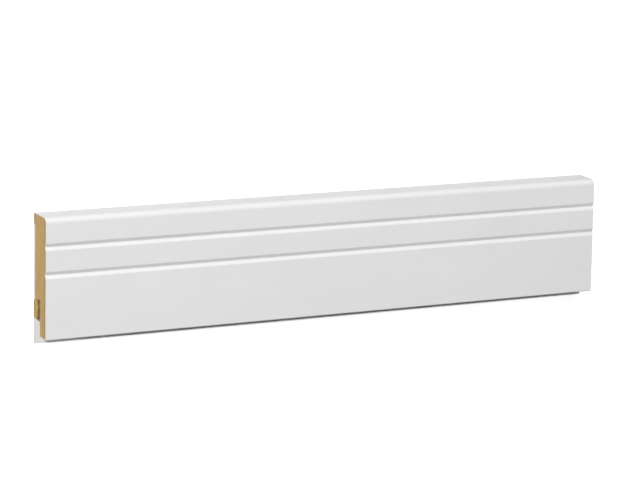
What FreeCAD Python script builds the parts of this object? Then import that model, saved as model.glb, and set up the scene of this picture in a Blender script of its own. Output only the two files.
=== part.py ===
import FreeCAD, Part
import math
import os

# Skirting board length, lying on its back with the face up.
# X runs along the length, Y up the board to its rounded edge, Z out of the face.

# The whole board
length = 420.0
height = 80.0
thickness = 18.0

# White foil over the top edge, the face and the underside of the foot
foil_thickness = 0.3
foil_stops_above_back = 0.5

# Top edge, slanting down a little towards the face and rounded into it
top_slant = 4.0
top_edge_radius = 3.8

# Underside of the foot, slanting up towards the back so that it bears on its front edge
foot_slant = 13.0
foot_corner_radius = 0.8

# Two soft V grooves in the face, placed by their distance below the top edge
groove_drops = [19.9, 38.0]
groove_half_width = 2.6
groove_slope = 28.0
groove_lip_radius = 1.5
groove_valley_radius = 0.5

# Hollow in the back, between the pad at the top and the rear leg
hollow_depth = 2.1
pad_height = 6.6
pad_bevel = 1.2
leg_top = 23.0
leg_bevel = 1.8

# Thin foot, clip slot behind it and rear leg behind the slot
foot_thickness = 8.2
slot_width = 4.2
slot_end = 25.0
slot_corner_radius = 1.2
leg_end = 12.4
leg_tip_radius = 1.6
leg_lip_radius = 0.6

# Bead on the slot side of the leg that holds the clip
bead_rise = 0.6
bead_below_slot_end = 6.2
bead_half_length = 2.6

# Places worked out from the sizes above
top_side = height / 2
foot_side = -height / 2
foot_back = thickness - foot_thickness
leg_front = foot_back - slot_width


def above_foot(distance):
    """Y of a place that lies this far above the foot's edge."""
    return foot_side + distance


def below_top(distance):
    """Y of a place that lies this far below the top edge."""
    return top_side - distance


def point(y, z):
    return FreeCAD.Vector(0, y, z)


def bend(y, z, radius, start, end):
    """Arc about a centre, from one angle to another in degrees."""
    angles = [math.radians(angle) for angle in (start, (start + end) / 2, end)]
    return Part.Arc(*[point(y + radius * math.cos(a), z + radius * math.sin(a)) for a in angles])


def bulge(start, rise, end):
    """Arc between two points that stands clear of the line between them by the rise."""
    middle = (start + end) * 0.5
    return Part.Arc(start, middle + point(0, rise), end)


def closed_outline(steps):
    """Wire through points and arcs in turn, with straight lines between them."""
    ends = []
    for step in steps:
        if isinstance(step, FreeCAD.Vector):
            ends.append((step, step))
        else:
            ends.append((step.StartPoint, step.EndPoint))
    edges = []
    for index, step in enumerate(steps):
        here = ends[index][1]
        following = ends[(index + 1) % len(steps)][0]
        if not isinstance(step, FreeCAD.Vector):
            edges.append(step.toShape())
        if here.distanceToPoint(following) > 1e-6:
            edges.append(Part.LineSegment(here, following).toShape())
    return Part.Wire(edges)


def groove_steps(drop, inset):
    """Soft V groove, from its upper lip to its lower lip."""
    centre = below_top(drop)
    slope = math.radians(groove_slope)
    lip_y = groove_half_width
    lip_z = thickness - groove_lip_radius
    straight = groove_half_width - (groove_lip_radius + groove_valley_radius) * math.sin(slope)
    fall = (groove_lip_radius + groove_valley_radius) * (1 - math.cos(slope)) + straight * math.tan(slope)
    valley_z = thickness - fall + groove_valley_radius
    lip = groove_lip_radius - inset
    valley = groove_valley_radius + inset
    return [
        bend(centre + lip_y, lip_z, lip, 90, 90 + groove_slope),
        bend(centre, valley_z, valley, -90 + groove_slope, -90 - groove_slope),
        bend(centre - lip_y, lip_z, lip, 90 - groove_slope, 90),
    ]


def face_steps(inset):
    """Top edge, face and foot underside, at a depth below the finished surface."""
    slant = math.radians(top_slant)
    round_z = thickness - top_edge_radius
    slanting_depth = round_z + top_edge_radius * math.sin(slant) - foil_stops_above_back
    round_y = below_top(slanting_depth * math.tan(slant) + top_edge_radius * math.cos(slant))
    foot_round = foot_corner_radius - inset
    steps = [point(below_top(inset / math.cos(slant)), foil_stops_above_back)]
    steps.append(bend(round_y, round_z, top_edge_radius - inset, top_slant, 90))
    for drop in groove_drops:
        steps.extend(groove_steps(drop, inset))
    corner = above_foot(foot_corner_radius)
    foot_edge = bend(corner, thickness - foot_corner_radius, foot_round, 90, 180 + foot_slant)
    underside = foot_edge.EndPoint
    rise = (underside.z - foot_back) * math.tan(math.radians(foot_slant))
    steps.append(foot_edge)
    steps.append(point(underside.y + rise, foot_back))
    return steps


def clip_slot_steps():
    """Slot from its mouth behind the foot, round its end and back along the leg."""
    end = above_foot(slot_end)
    inner = slot_corner_radius
    bead = end - bead_below_slot_end
    bead_near = point(bead + bead_half_length, leg_front)
    bead_far = point(bead - bead_half_length, leg_front)
    return [
        bend(end - inner, foot_back - inner, inner, 90, 0),
        bend(end - inner, leg_front + inner, inner, 0, -90),
        bulge(bead_near, bead_rise, bead_far),
    ]


def leg_steps():
    """Tip of the rear leg, its back and the bevel up to the hollow."""
    tip = above_foot(leg_end)
    return [
        bend(tip + leg_lip_radius, leg_front - leg_lip_radius, leg_lip_radius, 90, 180),
        bend(tip + leg_tip_radius, leg_tip_radius, leg_tip_radius, 180, 270),
        point(above_foot(leg_top), 0),
        point(above_foot(leg_top + leg_bevel), hollow_depth),
    ]


def top_pad_steps():
    """Bevel down from the hollow and the pad at the top of the back."""
    return [
        point(below_top(pad_height + pad_bevel), hollow_depth),
        point(below_top(pad_height), 0),
    ]


def along_length(outline):
    """Solid of an outline, run along the whole length."""
    section = Part.Face(outline)
    section.translate(FreeCAD.Vector(-length / 2, 0, 0))
    return section.extrude(FreeCAD.Vector(length, 0, 0))


def mdf_core():
    steps = face_steps(foil_thickness)
    steps += clip_slot_steps()
    steps += leg_steps()
    steps += top_pad_steps()
    steps.append(point(below_top(foil_thickness / math.cos(math.radians(top_slant))), 0))
    return along_length(closed_outline(steps))


def backwards(steps):
    """The same steps, walked the other way."""
    turned = []
    for step in reversed(steps):
        if isinstance(step, FreeCAD.Vector):
            turned.append(step)
        else:
            middle = step.value((step.FirstParameter + step.LastParameter) / 2)
            turned.append(Part.Arc(step.EndPoint, middle, step.StartPoint))
    return turned


def white_foil():
    steps = face_steps(0) + backwards(face_steps(foil_thickness))
    return along_length(closed_outline(steps))


os.makedirs("parts", exist_ok=True)
mdf_core().exportStep("parts/mdf_core.step")
white_foil().exportStep("parts/white_foil.step")
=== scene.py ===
import bmesh
import bpy
import math
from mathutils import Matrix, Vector


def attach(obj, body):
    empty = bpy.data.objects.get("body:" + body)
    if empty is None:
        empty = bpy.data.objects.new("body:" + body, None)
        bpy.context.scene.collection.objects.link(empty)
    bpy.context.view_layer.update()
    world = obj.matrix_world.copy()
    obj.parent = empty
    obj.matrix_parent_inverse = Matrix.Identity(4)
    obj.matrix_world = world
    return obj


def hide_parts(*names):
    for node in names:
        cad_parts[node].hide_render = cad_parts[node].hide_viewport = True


# Skirting board length on its back, seen from above its left end as in the photograph.

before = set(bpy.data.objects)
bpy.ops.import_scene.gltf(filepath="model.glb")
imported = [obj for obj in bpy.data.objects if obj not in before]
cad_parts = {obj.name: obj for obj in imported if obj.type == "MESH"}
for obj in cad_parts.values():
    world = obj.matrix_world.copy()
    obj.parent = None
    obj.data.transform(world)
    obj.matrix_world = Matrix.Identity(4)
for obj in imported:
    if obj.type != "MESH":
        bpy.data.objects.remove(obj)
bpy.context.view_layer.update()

mm = 0.001

# Sizes of the board in millimetres, with places measured from the foot's edge and from the back
length = 420.0
height = 80.0
thickness = 18.0
foil_thickness = 0.3
foil_stops_above_back = 0.5
top_slant = 4.0
top_edge_radius = 3.8
foot_corner_radius = 0.8
foot_slant = 13.0
groove_drops = [19.9, 38.0]
groove_half_width = 2.6
groove_slope = 28.0
groove_lip_radius = 1.5
groove_valley_radius = 0.5
hollow_depth = 2.1
pad_height = 6.6
pad_bevel = 1.2
leg_top = 23.0
leg_bevel = 1.8
foot_thickness = 8.2
slot_width = 4.2
slot_end = 25.0
slot_corner_radius = 1.2
leg_end = 12.4
leg_tip_radius = 1.6
leg_lip_radius = 0.6
bead_rise = 0.6
bead_below_slot_end = 6.2
bead_half_length = 2.6

foot_back = thickness - foot_thickness
leg_front = foot_back - slot_width

# Fineness of the meshes
degrees_per_step = 5.0
edge_support = 0.25
stations_along = 24
sharp_angle = 25.0


def bend(y, z, radius, start, end):
    """Points on an arc about a centre, from one angle to another in degrees."""
    steps = max(2, round(abs(end - start) / degrees_per_step))
    angles = [math.radians(start + (end - start) * i / steps) for i in range(steps + 1)]
    return [(y + radius * math.cos(a), z + radius * math.sin(a)) for a in angles]


def groove(drop, inset):
    """Soft V groove, from its upper lip to its lower lip."""
    slope = math.radians(groove_slope)
    both = groove_lip_radius + groove_valley_radius
    straight = groove_half_width - both * math.sin(slope)
    fall = both * (1 - math.cos(slope)) + straight * math.tan(slope)
    centre = height - drop
    lip_z = thickness - groove_lip_radius
    valley_z = thickness - fall + groove_valley_radius
    lip = groove_lip_radius - inset
    valley = groove_valley_radius + inset
    points = bend(centre + groove_half_width, lip_z, lip, 90, 90 + groove_slope)
    points += bend(centre, valley_z, valley, groove_slope - 90, -90 - groove_slope)
    points += bend(centre - groove_half_width, lip_z, lip, 90 - groove_slope, 90)
    return points


def face_outline(inset):
    """Top edge, face and foot underside, at a depth below the finished surface."""
    slant = math.radians(top_slant)
    round_z = thickness - top_edge_radius
    slanting_depth = round_z + top_edge_radius * math.sin(slant) - foil_stops_above_back
    round_y = height - slanting_depth * math.tan(slant) - top_edge_radius * math.cos(slant)
    points = [(height - inset / math.cos(slant), foil_stops_above_back)]
    points += bend(round_y, round_z, top_edge_radius - inset, top_slant, 90)
    for drop in groove_drops:
        points += groove(drop, inset)
    corner_z = thickness - foot_corner_radius
    points += bend(foot_corner_radius, corner_z, foot_corner_radius - inset, 90, 180 + foot_slant)
    underside_y, underside_z = points[-1]
    rise = (underside_z - foot_back) * math.tan(math.radians(foot_slant))
    points.append((underside_y + rise, foot_back))
    return points


def back_outline():
    """Clip slot, rear leg, hollow and top pad."""
    inner = slot_corner_radius
    bead = slot_end - bead_below_slot_end
    # Circle through the bead's two ends and its highest point
    bead_radius = (bead_half_length ** 2 + bead_rise ** 2) / (2 * bead_rise)
    bead_reach = math.degrees(math.asin(bead_half_length / bead_radius))
    bead_z = leg_front + bead_rise - bead_radius
    tip = leg_end
    points = bend(slot_end - inner, foot_back - inner, inner, 90, 0)
    points += bend(slot_end - inner, leg_front + inner, inner, 0, -90)
    points += bend(bead, bead_z, bead_radius, 90 - bead_reach, 90 + bead_reach)
    points += bend(tip + leg_lip_radius, leg_front - leg_lip_radius, leg_lip_radius, 90, 180)
    points += bend(tip + leg_tip_radius, leg_tip_radius, leg_tip_radius, 180, 270)
    points.append((leg_top, 0))
    points.append((leg_top + leg_bevel, hollow_depth))
    points.append((height - pad_height - pad_bevel, hollow_depth))
    points.append((height - pad_height, 0))
    points.append((height - foil_thickness / math.cos(math.radians(top_slant)), 0))
    return points


def supported(points, closed):
    """The same outline with a point close to each end of its straight runs, for even shading."""
    count = len(points) if closed else len(points) - 1
    result = []
    for index, start in enumerate(points):
        result.append(start)
        if index >= count:
            continue
        end = points[(index + 1) % len(points)]
        run = math.hypot(end[0] - start[0], end[1] - start[1])
        if run > 4 * edge_support:
            for share in (edge_support / run, 1 - edge_support / run):
                result.append(tuple(a + (b - a) * share for a, b in zip(start, end)))
    return result


def station_places():
    """Places along the length, close together at the two cut ends."""
    half = length / 2
    even = [-half + length * i / stations_along for i in range(stations_along + 1)]
    return sorted(even + [-half + edge_support, half - edge_support])


def rings_of(mesh, outline):
    """One ring of vertices for each place along the length."""
    rings = []
    for x in station_places():
        ring = [mesh.verts.new((x * mm, (y - height / 2) * mm, z * mm)) for y, z in outline]
        rings.append(ring)
    return rings


def skin(mesh, rings, closed):
    """Faces between neighbouring rings."""
    for near, far in zip(rings, rings[1:]):
        count = len(near) if closed else len(near) - 1
        for i in range(count):
            j = (i + 1) % len(near)
            mesh.faces.new((near[i], near[j], far[j], far[i]))


def cut_end(mesh, ring):
    """Flat face over a cut end, in triangles that keep out of the slot and the hollow."""
    rim = [mesh.edges.get((ring[i - 1], ring[i])) for i in range(len(ring))]
    bmesh.ops.triangle_fill(mesh, edges=rim, use_beauty=True)


def finished_piece(name, mesh, material):
    """Object of a mesh, shaded smooth apart from its sharp edges."""
    bmesh.ops.recalc_face_normals(mesh, faces=mesh.faces)
    for face in mesh.faces:
        face.smooth = True
    for edge in mesh.edges:
        edge.smooth = edge.calc_face_angle(0) < math.radians(sharp_angle)
    data = bpy.data.meshes.new(name)
    mesh.to_mesh(data)
    mesh.free()
    data.materials.append(material)
    piece = bpy.data.objects.new(name, data)
    bpy.context.collection.objects.link(piece)
    return piece


def build_core(material):
    """The fibreboard, with both cut ends."""
    mesh = bmesh.new()
    outline = supported(face_outline(foil_thickness) + back_outline(), True)
    rings = rings_of(mesh, outline)
    skin(mesh, rings, True)
    cut_end(mesh, rings[0])
    cut_end(mesh, rings[-1])
    return finished_piece("board_core", mesh, material)


def build_foil(material):
    """The foil, as an outer and an inner skin joined round their rim."""
    mesh = bmesh.new()
    outer = rings_of(mesh, supported(face_outline(0), False))
    inner = rings_of(mesh, supported(face_outline(foil_thickness), False))
    skin(mesh, outer, False)
    skin(mesh, inner, False)
    for outside, inside in ((outer[0], inner[0]), (outer[-1], inner[-1])):
        skin(mesh, [outside, inside], False)
    for place in (0, -1):
        for k in range(len(outer) - 1):
            corners = (outer[k][place], outer[k + 1][place], inner[k + 1][place], inner[k][place])
            mesh.faces.new(corners)
    return finished_piece("board_foil", mesh, material)


def node(tree, kind, **values):
    """New shader node with its named inputs and settings filled in."""
    made = tree.nodes.new(kind)
    for key, value in values.items():
        if key in made.inputs:
            made.inputs[key].default_value = value
        else:
            setattr(made, key, value)
    return made


def new_material(name):
    material = bpy.data.materials.new(name)
    material.use_nodes = True
    tree = material.node_tree
    return material, tree, tree.nodes["Principled BSDF"]


def noise(tree, stretch, detail, seed):
    """Noise over the piece, with its own number of cells per metre along X, Y and Z."""
    place = node(tree, "ShaderNodeTexCoord")
    shift = (seed, seed * 0.7, seed * 1.3)
    mapping = node(tree, "ShaderNodeMapping", Scale=stretch, Location=shift)
    made = node(tree, "ShaderNodeTexNoise", Scale=1.0, Detail=detail, Roughness=0.6)
    tree.links.new(place.outputs["Object"], mapping.inputs["Vector"])
    tree.links.new(mapping.outputs["Vector"], made.inputs["Vector"])
    return made.outputs["Fac"]


def ramp(tree, source, stops):
    """Colour ramp over a value, from pairs of place and colour."""
    made = tree.nodes.new("ShaderNodeValToRGB")
    elements = made.color_ramp.elements
    while len(elements) < len(stops):
        elements.new(0.5)
    for element, (place, colour) in zip(elements, stops):
        element.position = place
        element.color = (*colour, 1)
    tree.links.new(source, made.inputs["Fac"])
    return made.outputs["Color"]


def multiplied(tree, first, second):
    """Product of two colours."""
    made = node(tree, "ShaderNodeMix", data_type="RGBA", blend_type="MULTIPLY")
    made.inputs["Factor"].default_value = 1.0
    tree.links.new(first, made.inputs["A"])
    tree.links.new(second, made.inputs["B"])
    return made.outputs["Result"]


def carried_over(tree, source, start, end):
    """Value carried over from one range to another, and held where it passes the ends."""
    made = tree.nodes.new("ShaderNodeMapRange")
    made.inputs["From Min"].default_value = start[0]
    made.inputs["From Max"].default_value = start[1]
    made.inputs["To Min"].default_value = end[0]
    made.inputs["To Max"].default_value = end[1]
    tree.links.new(source, made.inputs["Value"])
    return made.outputs["Result"]


def place_on_piece(tree):
    """X, Y and Z of each point of the piece, in metres."""
    place = node(tree, "ShaderNodeTexCoord")
    split = tree.nodes.new("ShaderNodeSeparateXYZ")
    tree.links.new(place.outputs["Object"], split.inputs["Vector"])
    return split.outputs


def grey(value):
    return (value, value, value)


def add_bump(tree, shader, source, strength, distance):
    """Fine relief on the surface, from a noise."""
    bump = node(tree, "ShaderNodeBump", Strength=strength, Distance=distance)
    tree.links.new(source, bump.inputs["Height"])
    tree.links.new(bump.outputs["Normal"], shader.inputs["Normal"])


def white_foil_material():
    """Smooth satin foil: faint cloudiness, slightly uneven gloss and a fine orange peel."""
    material, tree, shader = new_material("white_foil_satin")
    clouds = noise(tree, (18, 40, 40), 3, 2.0)
    colour = ramp(tree, clouds, [(0.3, grey(0.84)), (0.7, grey(0.865))])
    tree.links.new(colour, shader.inputs["Base Color"])
    smears = noise(tree, (60, 160, 160), 4, 5.0)
    gloss = ramp(tree, smears, [(0.3, grey(0.5)), (0.7, grey(0.6))])
    tree.links.new(gloss, shader.inputs["Roughness"])
    shader.inputs["Specular IOR Level"].default_value = 0.3
    peel = noise(tree, (1300, 1700, 1700), 2, 9.0)
    add_bump(tree, shader, peel, strength=0.12, distance=0.04 * mm)
    return material


def mdf_material():
    """Raw fibreboard: tan flecks lying in the plane of the board, and denser, darker skins."""
    material, tree, shader = new_material("raw_mdf_fibre")
    patches = noise(tree, (60, 90, 220), 3, 1.0)
    base = ramp(tree, patches, [(0.3, (0.595, 0.402, 0.174)), (0.7, (0.67, 0.460, 0.194))])
    flecks = noise(tree, (900, 420, 1900), 5, 4.0)
    fleck_tone = ramp(tree, flecks, [(0.25, grey(0.72)), (0.5, grey(0.97)), (0.75, grey(1.08))])
    tone = multiplied(tree, base, fleck_tone)
    depth = carried_over(tree, place_on_piece(tree)["Z"], (0, thickness * mm), (0, 1))
    dense, open_fibre = grey(0.76), grey(1.0)
    skins = [(0.04, dense), (0.13, open_fibre), (0.84, open_fibre), (0.93, dense)]
    tone = multiplied(tree, tone, ramp(tree, depth, skins))
    tree.links.new(tone, shader.inputs["Base Color"])
    shader.inputs["Roughness"].default_value = 0.85
    shader.inputs["Specular IOR Level"].default_value = 0.2
    add_bump(tree, shader, flecks, strength=0.5, distance=0.12 * mm)
    return material


def seen_directly(tree):
    """1 for the camera and for what gloss and glass reflect or pass on, otherwise 0."""
    path = node(tree, "ShaderNodeLightPath")
    either = node(tree, "ShaderNodeMath", operation="MAXIMUM")
    tree.links.new(path.outputs["Is Camera Ray"], either.inputs[0])
    tree.links.new(path.outputs["Is Glossy Ray"], either.inputs[1])
    seen = node(tree, "ShaderNodeMath", operation="MAXIMUM")
    tree.links.new(either.outputs[0], seen.inputs[0])
    tree.links.new(path.outputs["Is Transmission Ray"], seen.inputs[1])
    return seen.outputs[0]


def floor_material():
    """White studio floor that keeps the shadow. The camera sees it brighter than the object does.

    It is just white beyond the top edge. Where the soft shadow of the board falls it is painted
    brighter, and this painted light washes that soft shadow out.
    """
    # Painted light: as the camera sees it, the floor's tone is raised where the board's soft shadow
    # falls, so that shadow shows white.
    painted_light_under_shadow = 2.1
    tone_beyond_top = 1.38
    tone_for_object = 0.4
    top_edge = height / 2
    blend_width = 6.0
    material, tree, shader = new_material("studio_floor")
    across = ((top_edge - blend_width) * mm, top_edge * mm)
    tones = (painted_light_under_shadow, tone_beyond_top)
    seen_tone = carried_over(tree, place_on_piece(tree)["Y"], across, tones)
    tone = node(tree, "ShaderNodeMix", data_type="RGBA")
    tone.inputs["A"].default_value = (*grey(tone_for_object), 1)
    tree.links.new(seen_tone, tone.inputs["B"])
    tree.links.new(seen_directly(tree), tone.inputs["Factor"])
    matte = tree.nodes.new("ShaderNodeBsdfDiffuse")
    tree.links.new(tone.outputs["Result"], matte.inputs["Color"])
    output = tree.nodes["Material Output"]
    tree.links.new(matte.outputs["BSDF"], output.inputs["Surface"])
    tree.nodes.remove(shader)
    return material


def build_floor():
    half = 12.0
    mesh = bpy.data.meshes.new("floor")
    corners = [(-half, -half, 0), (half, -half, 0), (half, half, 0), (-half, half, 0)]
    mesh.from_pydata(corners, [], [(0, 1, 2, 3)])
    mesh.materials.append(floor_material())
    floor = bpy.data.objects.new("floor", mesh)
    bpy.context.collection.objects.link(floor)


def build_world():
    """White to the camera, and a faint even fill to the object."""
    fill, white = 0.025, 1.0
    world = bpy.data.worlds.new("studio")
    bpy.context.scene.world = world
    world.use_nodes = True
    tree = world.node_tree
    background = tree.nodes["Background"]
    background.inputs["Color"].default_value = (1, 1, 1, 1)
    strength = carried_over(tree, seen_directly(tree), (0, 1), (fill, white))
    tree.links.new(strength, background.inputs["Strength"])


def aim(thing, target):
    """Turns a lamp so that it shines at a place."""
    direction = Vector(target) - thing.location
    thing.rotation_mode = "QUATERNION"
    thing.rotation_quaternion = direction.to_track_quat("-Z", "Y")


def build_softbox(name, place, target, size, watts):
    lamp = bpy.data.lights.new(name, "AREA")
    lamp.shape = "RECTANGLE"
    lamp.size, lamp.size_y = size
    lamp.energy = watts
    box = bpy.data.objects.new(name, lamp)
    bpy.context.collection.objects.link(box)
    box.location = place
    box.visible_camera = False
    aim(box, target)


def build_lamps():
    """A small key above the board, two softboxes beyond the left end and one beyond the top edge."""
    middle = (0, 0, 0)
    left_part = (-0.1, 0, 0)
    build_softbox("key", (-0.2, 0.72, 2.5), middle, (0.16, 0.16), 31)
    build_softbox("left_softbox", (-2.1, 1.5, 2.3), left_part, (0.5, 0.5), 38.5)
    build_softbox("low_softbox", (-3.3, 1.5, 0.42), left_part, (0.9, 0.3), 46.5)
    build_softbox("top_softbox", (0.1, 1.5, 1.3), middle, (0.6, 0.6), 6.7)


def build_camera():
    """The photograph's view, from above the left end, tipped to show the top edge."""
    data = bpy.data.cameras.new("camera")
    data.sensor_width = 36
    data.lens = 174.501
    data.clip_start = 0.05
    data.clip_end = 60
    camera = bpy.data.objects.new("camera", data)
    bpy.context.collection.objects.link(camera)
    camera.rotation_mode = "ZXY"
    tip, turn, roll = -9.673, -30.164, 1.111
    camera.rotation_euler = [math.radians(angle) for angle in (tip, turn, roll)]
    camera.location = (-1.02892, 0.35689, 1.77079)
    bpy.context.scene.camera = camera


bpy.context.scene.view_settings.view_transform = "Standard"
build_camera()
build_floor()
build_world()
build_lamps()

core = build_core(mdf_material())
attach(core, "root")
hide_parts("mdf_core")

foil = build_foil(white_foil_material())
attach(foil, "root")
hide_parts("white_foil")
